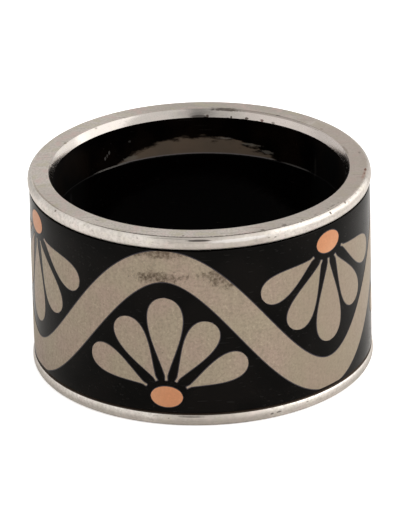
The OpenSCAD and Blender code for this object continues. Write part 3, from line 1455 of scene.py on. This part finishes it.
@dataclass
class MetalFrame:
    """Sleeve and two rims in one piece.

    Attributes:
        outer_radius: Radius over the beads, in millimetres.
        height: Width of the band.
        lip_radius: Radius of the inside strips.
        sleeve_inner: Inner radius of the hidden sleeve.
        sleeve_outer: Outer radius of the hidden sleeve.
        bead_height: Height of a bead.
        bead_depth: Depth of the bead's curve, from its crown inwards.
        bead_fullness: How full the curve is towards the flat face, 2 being an ellipse.
        foot_fullness: How full it is towards the enamel.
        upper_gap: Share of the upper bead's foot that lies in the dark gap.
        lower_gap: Share of the lower bead's foot that lies in the dark gap.
        lip_height: Height of an inside strip.
        lip_lean: How far a strip leans outwards, from its foot to the flat face.
        lip_edge: Radius of the edge between the flat face and the strip.
        lip_bulge: How far a strip bulges in its middle.
        chamfer: Width of the broken edge between the flat face and the seam line.
        seam_inset: Distance of the seam line from the outside.
        seam_width: Width of the seam line.
        seam_depth: Depth of the seam line.
        segments: Steps round the ring.
    """

    outer_radius: float
    height: float
    lip_radius: float
    sleeve_inner: float
    sleeve_outer: float
    bead_height: float = 0.82
    bead_depth: float = 0.3
    bead_fullness: float = 2.2
    foot_fullness: float = 2.25
    upper_gap: float = 0.27
    lower_gap: float = 0.42
    lip_height: float = 0.46
    lip_lean: float = 0.24
    lip_edge: float = 0.02
    lip_bulge: float = 0.014
    chamfer: float = 0.012
    seam_inset: float = 0.2
    seam_width: float = 0.05
    seam_depth: float = 0.03
    segments: int = 720

    def bead_point(self, share: float) -> Point:
        """Gives a point of the upper bead's outline.

        Args:
            share: Place on the outline, -1 at the foot, 0 at the crown and 1 at the top.

        Returns:
            Its radius and height.
        """
        power = 2.0 / (self.bead_fullness if share > 0.0 else self.foot_fullness)
        turn = abs(share) * math.pi / 2
        middle = self.height - self.bead_height / 2
        rise = self.bead_height / 2 * math.sin(turn) ** power
        return (
            self.outer_radius - self.bead_depth * (1.0 - max(math.cos(turn), 0.0) ** power),
            middle + math.copysign(rise, share),
        )

    def half_section(self, hidden: float) -> Section:
        """Draws the upper rim's outline, from the sleeve's outside round to its inside.

        Args:
            hidden: Share of the bead's foot that lies in the dark gap.

        Returns:
            The outline, open towards the middle of the band.
        """
        top, outer = self.height, self.outer_radius
        foot_steps, crown_steps, flat_steps, strip_steps = 10, 14, 7, 8
        half = Section()
        half.line(self.sleeve_outer, top - self.bead_height, Skin.GAP)
        # The bead's foot beside the enamel takes the gap finish: painted shade with grime
        for step in range(foot_steps):
            share = 1.0 - step / foot_steps
            half.line(*self.bead_point(-share), Skin.GAP if share > 1.0 - hidden else Skin.BEAD)
        seam = outer - self.seam_inset
        reach = (seam - (outer - self.bead_depth)) / self.bead_depth
        edge = math.acos(reach ** (self.bead_fullness / 2)) / (math.pi / 2)
        for step in range(crown_steps):
            half.line(*self.bead_point(edge * step / crown_steps), Skin.BEAD)
        half.line(*self.bead_point(edge), Skin.SEAM)
        half.line(seam, top - self.seam_depth, Skin.SEAM)
        half.line(seam - self.seam_width, top - self.seam_depth, Skin.SEAM)
        half.line(seam - self.seam_width, top - self.chamfer, Skin.FLAT)
        lip_top = self.lip_radius + self.lip_lean
        flat_inner, flat_outer = lip_top + self.lip_edge, seam - self.seam_width - self.chamfer
        for step in range(flat_steps):
            half.line(flat_outer + (flat_inner - flat_outer) * step / flat_steps, top, Skin.FLAT)
        centre = (flat_inner, top - self.lip_edge)
        half.arc(centre, self.lip_edge, start=90.0, end=165.0, skin=Skin.STRIP, steps=5)
        for step in range(1, strip_steps):
            share = step / strip_steps
            bulge = self.lip_bulge * math.sin(math.pi * share)
            half.line(lip_top - self.lip_lean * share - bulge, top - self.lip_height * share, Skin.STRIP)
        half.line(self.lip_radius, top - self.lip_height, Skin.GAP)
        half.line(self.sleeve_inner, top - self.lip_height, Skin.GAP)
        return half

    def build(self, finishes: Finishes) -> bpy.types.Object:
        """Makes the frame, dresses it and puts it in the solid's place.

        Args:
            finishes: The ring's materials.

        Returns:
            The frame.
        """
        upper, lower = self.half_section(self.upper_gap), self.half_section(self.lower_gap)
        whole = Section(list(upper.points), list(upper.skins))
        whole.points += [(radius, self.height - height) for radius, height in reversed(lower.points)]
        whole.skins += list(reversed(lower.skins[:-1])) + [Skin.GAP]
        frame_piece = turned_piece("metal_frame_dressed", whole, self.segments, self.knocks())
        for material in (finishes.flat, finishes.bead, finishes.strip, finishes.gap, finishes.seam):
            frame_piece.data.materials.append(material)
        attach(frame_piece, "root")
        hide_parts("metal_frame")
        return frame_piece

    def knocks(self) -> list[Dent]:
        """Lists the small knocks on the rims.

        Returns:
            The knocks.
        """
        crown, lip = self.outer_radius, self.lip_radius
        shoulder = self.outer_radius - 0.1
        lip_foot = self.height - self.lip_height + 0.03
        return [
            Dent(37.0, shoulder, self.height - 0.1, reach=0.10, depth=0.03),
            Dent(49.0, shoulder, self.height - 0.06, reach=0.12, depth=0.035, stretch=1.6),
            Dent(70.0, shoulder, self.height - 0.05, reach=0.10, depth=0.03),
            Dent(23.0, crown, 0.38, reach=0.07, depth=0.025),
            Dent(25.6, crown, 0.36, reach=0.09, depth=0.03, stretch=1.4),
            Dent(168.0, lip, lip_foot, reach=0.07, depth=0.025),
            Dent(161.6, lip, lip_foot, reach=0.08, depth=0.03),
            Dent(155.8, lip, lip_foot, reach=0.06, depth=0.025),
            Dent(177.0, lip, lip_foot, reach=0.09, depth=0.03),
        ]


@dataclass
class EnamelBand:
    """The outer enamel band.

    Attributes:
        outer_radius: Radius of the enamel's face, in millimetres.
        low: Height of its lower edge.
        high: Height of its upper edge.
        thickness: Thickness of the enamel.
        edge: Radius of its edges.
        segments: Steps round the ring.
    """

    outer_radius: float
    low: float
    high: float
    thickness: float = ENAMEL_THICKNESS
    edge: float = 0.06
    segments: int = 720

    def build(self, finishes: Finishes) -> bpy.types.Object:
        """Makes the band, dresses it and puts it in the solid's place.

        Args:
            finishes: The ring's materials.

        Returns:
            The band.
        """
        inner, round_from = self.outer_radius - self.thickness, self.outer_radius - self.edge
        low, high = self.low + self.edge, self.high - self.edge
        span = self.high - self.low - 2 * self.edge
        rows = 12
        section = Section()
        section.line(inner, self.low, Skin.FLAT)
        section.arc((round_from, low), self.edge, start=-90.0, end=0.0, skin=Skin.FLAT, steps=6)
        for row in range(1, rows):
            section.line(self.outer_radius, low + span * row / rows, Skin.FLAT)
        section.arc((round_from, high), self.edge, start=0.0, end=90.0, skin=Skin.FLAT, steps=6)
        section.line(inner, self.high, Skin.FLAT)
        band = turned_piece("enamel_band_dressed", section, self.segments)
        band.data.materials.append(finishes.outer_enamel)
        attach(band, "root")
        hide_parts("enamel_band")
        return band


@dataclass
class InnerLining:
    """The comfort-shaped lining of the finger opening.

    Attributes:
        back_radius: Radius of its hidden back, in millimetres.
        low: Height of its lower edge.
        high: Height of its upper edge.
        height: Width of the band.
        bore_radius: Radius of the straight middle.
        face_radius: Radius at its edges.
        mouth_depth: Depth of a mouth below the band's end.
        shoulder: Radius of the round shoulder.
        segments: Steps round the ring.
    """

    back_radius: float
    low: float
    high: float
    height: float
    bore_radius: float
    face_radius: float
    mouth_depth: float = 2.8
    shoulder: float = 0.06
    segments: int = 720

    def build(self, finishes: Finishes) -> bpy.types.Object:
        """Makes the lining, dresses it and puts it in the solid's place.

        Args:
            finishes: The ring's materials.

        Returns:
            The lining.
        """
        crease = self.height - self.mouth_depth
        start = crease - self.shoulder
        shoulder_radius = self.bore_radius + self.shoulder
        rows = 8
        upper = Section()
        upper.line(self.back_radius, self.high, Skin.FLAT)
        for row in range(rows):
            share = row / rows
            radius = self.face_radius + (shoulder_radius - self.face_radius) * share
            upper.line(radius, self.high + (crease - self.high) * share, Skin.FLAT)
        upper.arc((shoulder_radius, start), self.shoulder, start=90.0, end=180.0, skin=Skin.FLAT, steps=8)
        section = Section(list(upper.points), list(upper.skins))
        for row in range(1, rows):
            section.line(self.bore_radius, start + (self.height - 2 * start) * row / rows, Skin.FLAT)
        for radius, height in reversed(upper.points):
            section.line(radius, self.height - height, Skin.FLAT)
        lining = turned_piece("inner_lining_dressed", section, self.segments)
        lining.data.materials.append(finishes.lining)
        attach(lining, "root")
        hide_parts("inner_lining")
        return lining


# The printed border


@dataclass
class PrintPlate:
    """Gathers strokes of one colour into one thin mesh that lies on the enamel.

    Attributes:
        name: Name of the piece.
        face_radius: Radius of the enamel's face, in millimetres.
        proud: How far the print stands above the enamel.
        low: Lowest height that the print may reach.
        high: Greatest height that the print may reach.
        grow: How much wider each stroke is drawn on each side.
        across: Steps across a stroke.
        sunk: How far its underside lies in the enamel.
        end_grow: Share of the added width that an open stroke's ends have.
        vertices: The points of each slab laid so far.
        faces: The faces laid so far.
        count: Number of points laid so far.
    """

    name: str
    face_radius: float
    proud: float
    low: float
    high: float
    grow: float = 0.0
    across: int = 6
    sunk: float = 0.01
    end_grow: float = 0.2
    vertices: list[np.ndarray] = field(default_factory=list)
    faces: list[tuple[int, ...]] = field(default_factory=list)
    count: int = 0

    def wrap(self, flat: np.ndarray, radius: float) -> np.ndarray:
        """Wraps flat points round the band.

        Args:
            flat: Distance round the band and height of each point.
            radius: Radius that they are laid at.

        Returns:
            One row of x, y and z for each point.
        """
        turn = flat[..., 0] / self.face_radius
        height = np.clip(flat[..., 1], self.low, self.high)
        return np.stack([radius * np.sin(turn), -radius * np.cos(turn), height], axis=-1)

    def stroke(self, centre: Curve, half_width: Curve, steps: int, closed: bool = False) -> None:
        """Lays a stroke along a curve.

        Args:
            centre: Gives the curve's points for values from 0 to 1.
            half_width: Gives half of the stroke's width for the same values.
            steps: Steps along the stroke.
            closed: Whether it runs right round the band.
        """
        if closed:
            share = np.arange(steps) / steps
        else:
            share = (1.0 - np.cos(math.pi * np.linspace(0.0, 1.0, steps + 1))) / 2
        small = 1e-4
        ahead = centre(share + small) - centre(share - small)
        ahead /= np.linalg.norm(ahead, axis=1, keepdims=True)
        aside = np.stack([-ahead[:, 1], ahead[:, 0]], axis=1)
        spine = centre(share)
        width = half_width(share) + self.grow
        if not closed:
            spine[0] -= ahead[0] * self.grow
            spine[-1] += ahead[-1] * self.grow
            width[[0, -1]] -= self.grow * (1.0 - self.end_grow)
        lanes = np.linspace(-1.0, 1.0, self.across + 1)
        flat = spine[:, None, :] + aside[:, None, :] * (width[:, None] * lanes[None, :])[..., None]
        self.slab(flat, closed)

    def slab(self, flat: np.ndarray, closed: bool) -> None:
        """Adds a grid of flat points as a closed thin slab.

        Args:
            flat: Rows of points along the stroke, each a row across it.
            closed: Whether the last row joins the first.
        """
        rows, lanes = flat.shape[:2]
        top = self.wrap(flat, self.face_radius + self.proud).reshape(-1, 3)
        bottom = self.wrap(flat, self.face_radius - self.sunk).reshape(-1, 3)
        start = self.count
        under = start + rows * lanes
        self.vertices += [top, bottom]
        self.count += 2 * rows * lanes
        last = rows if closed else rows - 1
        for row in range(last):
            near, far = row * lanes, (row + 1) % rows * lanes
            for lane in range(lanes - 1):
                a, b, c, d = near + lane, far + lane, far + lane + 1, near + lane + 1
                self.faces.append((start + a, start + d, start + c, start + b))
                self.faces.append((under + a, under + b, under + c, under + d))
            for lane, outward in ((0, True), (lanes - 1, False)):
                a, b = near + lane, far + lane
                side = (start + a, start + b, under + b, under + a)
                self.faces.append(side if outward else side[::-1])
        if closed:
            return
        for row, outward in ((0, False), (rows - 1, True)):
            for lane in range(lanes - 1):
                a, b = row * lanes + lane, row * lanes + lane + 1
                side = (start + a, start + b, under + b, under + a)
                self.faces.append(side if outward else side[::-1])

    def build(self, material: bpy.types.Material) -> bpy.types.Object:
        """Makes the piece from what was laid and dresses it.

        Args:
            material: The printed colour.

        Returns:
            The printed piece.
        """
        plate = mesh_object(self.name, np.concatenate(self.vertices), self.faces, crease=PRINT_CREASE)
        plate.data.materials.append(material)
        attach(plate, "root")
        return plate


def bent_line(start: Point, pull: Point, end: Point) -> Curve:
    """Gives a smooth curve from one point to another.

    Args:
        start: Where it starts.
        pull: The point that it is drawn towards.
        end: Where it ends.

    Returns:
        A function from values between 0 and 1 to points.
    """
    ends = [np.array(point) for point in (start, pull, end)]

    def curve(share: np.ndarray) -> np.ndarray:
        """Gives the curve's points."""
        t = share[:, None]
        return ends[0] * (1 - t) ** 2 + ends[1] * 2 * t * (1 - t) + ends[2] * t**2

    return curve


def petal_width(widest: float, root: float = 0.06, full_at: float = 0.72) -> Curve:
    """Gives half of a petal's width along it: slim at the root, full past the middle, round at the tip.

    Args:
        widest: Half of its greatest width.
        root: Half of its width at the root.
        full_at: Where along it the petal is widest.

    Returns:
        A function from values between 0 and 1 to half widths.
    """
    swell = 0.5 * full_at / (1.0 - full_at)
    peak = full_at**swell * math.sqrt(1.0 - full_at)

    def width(share: np.ndarray) -> np.ndarray:
        """Gives the half width."""
        t = np.clip(share, 0.0, 1.0)
        return np.maximum(widest * t**swell * np.sqrt(1.0 - t) / peak, root * (1.0 - t) + THINNEST)

    return width


@dataclass(frozen=True)
class Petal:
    """One petal of a palmette, on its right-hand side.

    Attributes:
        angle: Angle in degrees at which it leaves the heart, 90 being upright.
        start: Distance of its root from the heart.
        tip: Place of its tip, from the heart.
        width: Its greatest width.
    """

    angle: float
    start: float
    tip: Point
    width: float


@dataclass
class PrintedBorder:
    """A border of palmettes, upright and hanging by turns, between the swings of a ribbon.

    Attributes:
        face_radius: Radius of the enamel's face, in millimetres.
        low: Height of the enamel's lower edge.
        high: Height of the enamel's upper edge.
        pairs: Number of swings of the ribbon, each with two palmettes.
        shift: Distance round the band from the front to an upright palmette.
        swing: Height of the ribbon's swing on each side of the middle.
        ribbon: Width of the ribbon.
        fringe: Width of the thin outline.
        fringe_proud: How far the outline stands above the enamel.
        print_proud: How far the other colours stand above it.
        low_margin: Bare enamel left above the lower rim.
        high_margin: Bare enamel left below the upper rim.
        heart_height: Height of a palmette's heart above the rim that it stands on.
        heart_half: Half of a heart's length and half of its height.
        bend: Share of a petal's length over which it keeps the angle of its root.
        petals: The petals of one palmette.
        ribbon_steps: Steps along the ribbon.
        petal_steps: Steps along a petal.
        heart_steps: Steps along a heart.
    """

    face_radius: float
    low: float
    high: float
    pairs: int = 3
    shift: float = -2.2
    swing: float = 4.15
    ribbon: float = 1.95
    fringe: float = 0.055
    fringe_proud: float = 0.006
    print_proud: float = 0.012
    low_margin: float = 0.13
    high_margin: float = 0.04
    heart_height: float = 1.0
    heart_half: Point = (0.95, 0.66)
    bend: float = 0.55
    petals: tuple[Petal, ...] = (
        Petal(angle=90.0, start=1.05, tip=(0.0, 6.3), width=2.1),
        Petal(angle=60.0, start=1.15, tip=(2.75, 4.75), width=1.85),
        Petal(angle=28.0, start=1.35, tip=(4.75, 2.35), width=1.7),
    )
    ribbon_steps: int = 540
    petal_steps: int = 44
    heart_steps: int = 32

    def plate(self, name: str, proud: float, grow: float = 0.0) -> PrintPlate:
        """Starts a printed plate on this band."""
        low, high = self.low + self.low_margin, self.high - self.high_margin
        return PrintPlate(name, self.face_radius, proud, low, high, grow)

    def build(self, finishes: Finishes) -> list[bpy.types.Object]:
        """Makes every printed piece.

        Args:
            finishes: The ring's materials.

        Returns:
            The printed pieces.
        """
        fringe = self.plate("print_fringe", self.fringe_proud, self.fringe)
        champagne = self.plate("print_champagne", self.print_proud)
        coral = self.plate("print_coral", self.print_proud)
        for plate in (fringe, champagne):
            self.lay_ribbon(plate)
            for place in range(2 * self.pairs):
                self.lay_palmette(plate, place)
        for place in range(2 * self.pairs):
            self.lay_heart(coral, place)
            self.lay_heart(fringe, place)
        return [
            fringe.build(finishes.fringe),
            champagne.build(finishes.champagne),
            coral.build(finishes.coral),
        ]

    @property
    def girth(self) -> float:
        """The distance round the enamel's face."""
        return FULL_TURN * self.face_radius

    def lay_ribbon(self, plate: PrintPlate) -> None:
        """Lays the ribbon that swings between the rims.

        Args:
            plate: The plate that it is laid on.
        """
        middle = (self.low + self.high) / 2

        def centre(share: np.ndarray) -> np.ndarray:
            """Gives the ribbon's middle line."""
            swing = self.swing * np.cos(FULL_TURN * self.pairs * share)
            return np.stack([self.shift + self.girth * share, middle + swing], axis=1)

        def width(share: np.ndarray) -> np.ndarray:
            """Gives half of the ribbon's width."""
            return np.full(len(share), self.ribbon / 2)

        plate.stroke(centre, width, self.ribbon_steps, closed=True)

    def stand(self, place: int, spot: Point) -> Point:
        """Turns a point of a palmette into a point of the band.

        Args:
            place: Which palmette, the even ones upright and the odd ones hanging.
            spot: Distance to the right of the heart and above it.

        Returns:
            The distance round the band and the height.
        """
        across = self.shift + self.girth * place / (2 * self.pairs) + spot[0]
        rise = self.heart_height + spot[1]
        return (across, self.low + rise) if place % 2 == 0 else (across, self.high - rise)

    def lay_palmette(self, plate: PrintPlate, place: int) -> None:
        """Lays the petals of one palmette.

        Args:
            plate: The plate that they are laid on.
            place: Which palmette.
        """
        for petal in self.petals:
            angle = math.radians(petal.angle)
            root = (petal.start * math.cos(angle), petal.start * math.sin(angle))
            reach = math.hypot(petal.tip[0] - root[0], petal.tip[1] - root[1]) * self.bend
            pull = (root[0] + reach * math.cos(angle), root[1] + reach * math.sin(angle))
            sides = (1.0,) if petal.tip[0] == 0.0 else (1.0, -1.0)
            for side in sides:
                points = [self.stand(place, (side * x, y)) for x, y in (root, pull, petal.tip)]
                plate.stroke(bent_line(*points), petal_width(petal.width / 2), self.petal_steps)

    def lay_heart(self, plate: PrintPlate, place: int) -> None:
        """Lays the small oval at the heart of one palmette.

        Args:
            plate: The plate that it is laid on.
            place: Which palmette.
        """
        half_length, half_height = self.heart_half
        left = np.array(self.stand(place, (-half_length, 0.0)))
        right = np.array(self.stand(place, (half_length, 0.0)))

        def centre(share: np.ndarray) -> np.ndarray:
            """Gives points along the oval's long axis."""
            return left + (right - left) * share[:, None]

        def width(share: np.ndarray) -> np.ndarray:
            """Gives half of the oval's height along it."""
            round_off = np.sqrt(np.clip(1.0 - (2.0 * share - 1.0) ** 2, 0.0, 1.0))
            return np.maximum(half_height * round_off, THINNEST)

        plate.stroke(centre, width, self.heart_steps)


# Studio


@dataclass(frozen=True)
class Studio:
    """Camera, lights and floor.

    Attributes:
        picture_width: Width of the picture in pixels.
        picture_height: Height of the picture in pixels.
        elevation: Height of the camera above the horizon, in degrees.
        roll: Turn of the picture about the line of sight, in degrees.
        distance: Distance of the camera from the ring's middle, in millimetres.
        pixels_per_mm: Scale at the ring's middle.
        middle_pixel: Pixel on which the ring's middle falls.
        sensor_width: Width of the camera's sensor, in millimetres.
        tent_colour: Colour of the pale tent.
        tent_level: Its brightness.
        right_glow: How much brighter its right side is.
        left_glow: How much brighter its left side is.
        back_way: Direction of the bright place behind, on the right.
        back_glow: How much brighter that is.
        front_way: Direction of the dark place in front, where the camera stands.
        front_shade: How much darker that is.
        boom_way: Direction of the dark boom overhead.
        boom_shade: Share of the light that the boom holds back.
        window_place: Place of the soft window on the right, in metres.
        window_size: Its width and height, in metres.
        window_power: Its power in watts.
        window_colour: Its colour.
        floor_half: Half of the floor's width, in metres.
        floor_lit: Colour of the floor as the ring is lit by it.
        floor_seen: Colour of the floor as the camera sees it.
        floor_glow: Brightness that the seen floor has of its own.
    """

    picture_width: float = 400.0
    picture_height: float = 528.0
    elevation: float = 24.5
    roll: float = 1.33
    distance: float = 400.0
    pixels_per_mm: float = 16.92
    middle_pixel: Point = (201.2, 260.95)
    sensor_width: float = 36.0
    tent_colour: Colour = (1.0, 0.985, 0.96)
    tent_level: float = 0.74
    right_glow: float = 0.5
    left_glow: float = 0.18
    back_way: Place = (0.90, 0.42, 0.12)
    back_glow: float = 0.55
    front_way: Place = (0.04, -0.86, 0.51)
    front_shade: float = 0.36
    boom_way: Place = (0.0, -0.25, 0.97)
    boom_shade: float = 0.85
    window_place: Place = (0.38, -0.04, 0.20)
    window_size: Point = (0.36, 0.36)
    window_power: float = 0.42
    window_colour: Colour = (1.0, 0.985, 0.965)
    floor_half: float = 1.2
    floor_lit: Colour = (0.90, 0.885, 0.87)
    floor_seen: Colour = (0.92, 0.92, 0.92)
    floor_glow: float = 0.55

    def camera(self, middle: Vector) -> None:
        """Makes the camera.

        Args:
            middle: The ring's middle, in metres.
        """
        data = bpy.data.cameras.new("camera")
        long_side = max(self.picture_width, self.picture_height)
        data.sensor_width = self.sensor_width
        data.lens = self.pixels_per_mm * self.distance / long_side * self.sensor_width
        data.shift_x = (self.picture_width / 2 - self.middle_pixel[0]) / long_side
        data.shift_y = (self.middle_pixel[1] - self.picture_height / 2) / long_side
        data.clip_start, data.clip_end = 0.01, 10.0
        camera = bpy.data.objects.new("camera", data)
        angle = math.radians(self.elevation)
        back = Vector((0.0, -math.cos(angle), math.sin(angle)))
        camera.location = middle + back * self.distance * MM
        turn = (-back).to_track_quat("-Z", "Y").to_matrix().to_4x4()
        turn @= Matrix.Rotation(math.radians(-self.roll), 4, "Z")
        camera.rotation_euler = turn.to_euler()
        bpy.context.scene.collection.objects.link(camera)
        bpy.context.scene.camera = camera

    def window(self) -> None:
        """Makes the soft rectangular window on the right, which faces the ring."""
        data = bpy.data.lights.new("right_softbox", "AREA")
        data.shape = "RECTANGLE"
        data.size, data.size_y = self.window_size
        data.energy = self.window_power
        data.color = self.window_colour
        light = bpy.data.objects.new("right_softbox", data)
        light.location = self.window_place
        light.rotation_euler = (-Vector(self.window_place)).to_track_quat("-Z", "Y").to_euler()
        bpy.context.scene.collection.objects.link(light)

    def tent(self) -> None:
        """Makes the pale tent round the ring, with its brighter and darker sides."""
        world = bpy.data.worlds.new("pale_tent")
        world.use_nodes = True
        kit = NodeKit(world.node_tree)
        background = world.node_tree.nodes["Background"]
        kit.feed(background.inputs["Color"], self.tent_colour)
        towards = kit.add("ShaderNodeTexCoord").outputs["Generated"]
        sideways = self.facing(kit, towards, (1.0, 0.0, 0.0))
        ahead = self.facing(kit, towards, (0.0, -1.0, 0.0))
        right = kit.times(kit.ramp(sideways, low=0.02, high=0.14), kit.ramp(ahead, low=-0.88, high=-0.6))
        left = kit.times(kit.ramp(sideways, low=-0.04, high=-0.30), kit.ramp(ahead, low=-0.35, high=0.15))
        behind = kit.ramp(self.facing(kit, towards, self.back_way), low=0.90, high=0.96)
        front = kit.ramp(self.facing(kit, towards, self.front_way), low=0.95, high=0.99)
        above = kit.ramp(self.facing(kit, towards, self.boom_way), low=0.82, high=0.95)
        boom = kit.times(kit.ramp(kit.maths("ABSOLUTE", sideways), low=0.16, high=0.06), above)
        level = kit.plus(self.tent_level, front, -self.front_shade)
        for side, glow in ((right, self.right_glow), (left, self.left_glow), (behind, self.back_glow)):
            level = kit.plus(level, side, glow)
        level = kit.times(level, kit.minus(1.0, kit.times(boom, self.boom_shade)))
        kit.feed(background.inputs["Strength"], level)
        bpy.context.scene.world = world
        bpy.context.scene.view_settings.view_transform = "Standard"

    def facing(self, kit: NodeKit, towards: object, way: Place) -> bpy.types.NodeSocket:
        """Tells how nearly a direction is a given one, from -1 to 1.

        Args:
            kit: Node kit of the surroundings.
            towards: Socket that holds the direction.
            way: The given direction.

        Returns:
            The socket that holds the cosine between the two.
        """
        node = kit.add("ShaderNodeVectorMath", operation="DOT_PRODUCT")
        kit.feed(node.inputs[0], towards)
        node.inputs[1].default_value = Vector(way).normalized()
        return node.outputs["Value"]

    def floor(self) -> None:
        """Makes the plain pale floor."""
        half = self.floor_half
        mesh = bpy.data.meshes.new("floor")
        corners = [(-half, -half, 0.0), (half, -half, 0.0), (half, half, 0.0), (-half, half, 0.0)]
        mesh.from_pydata(corners, [], [(0, 1, 2, 3)])
        floor = bpy.data.objects.new("floor", mesh)
        material = bpy.data.materials.new("pale_floor")
        material.use_nodes = True
        shader = material.node_tree.nodes["Principled BSDF"]
        shader.inputs["Roughness"].default_value = 1.0
        shader.inputs["Specular IOR Level"].default_value = 0.0
        shader.inputs["Emission Color"].default_value = (1.0, 1.0, 1.0, 1.0)
        kit = NodeKit(material.node_tree)
        seen = kit.add("ShaderNodeLightPath").outputs["Is Camera Ray"]
        kit.feed(shader.inputs["Base Color"], kit.mix(seen, self.floor_lit, self.floor_seen))
        kit.feed(shader.inputs["Emission Strength"], kit.times(seen, self.floor_glow))
        floor.data.materials.append(material)
        bpy.context.scene.collection.objects.link(floor)


def main() -> None:
    """Builds the ring and its studio, and reports each piece."""
    logging.basicConfig(level=logging.INFO, format="%(name)s: %(message)s")
    low, high = CAD_LOW * PER_METRE, CAD_HIGH * PER_METRE
    band_low, band_high = node_box_mm("enamel_band")
    lining_low, lining_high = node_box_mm("inner_lining")
    bore = frame["record"]["mounts"][0]["dims"]["r_mm"]
    lip_radius = bore + COMFORT_RISE
    studio = Studio()
    studio.camera((CAD_LOW + CAD_HIGH) / 2)
    studio.window()
    studio.tent()
    studio.floor()
    finishes = build_finishes(build_effects())
    enamel_radius = band_high.x
    metal = MetalFrame(
        outer_radius=high.x,
        height=high.z - low.z,
        lip_radius=lip_radius,
        sleeve_inner=lip_radius + LINING_THICKNESS + FIT_GAP,
        sleeve_outer=enamel_radius - ENAMEL_THICKNESS - FIT_GAP,
    )
    pieces = [metal.build(finishes)]
    pieces.append(EnamelBand(enamel_radius, band_low.z, band_high.z).build(finishes))
    lining = InnerLining(
        back_radius=lining_high.x,
        low=lining_low.z,
        high=lining_high.z,
        height=high.z - low.z,
        bore_radius=bore,
        face_radius=lip_radius - FACE_STEP,
    )
    pieces.append(lining.build(finishes))
    pieces += PrintedBorder(enamel_radius, band_low.z, band_high.z).build(finishes)
    for piece in pieces:
        LOG.info("%s: %d faces", piece.name, len(piece.data.polygons))


if __name__ == "__main__":
    main()
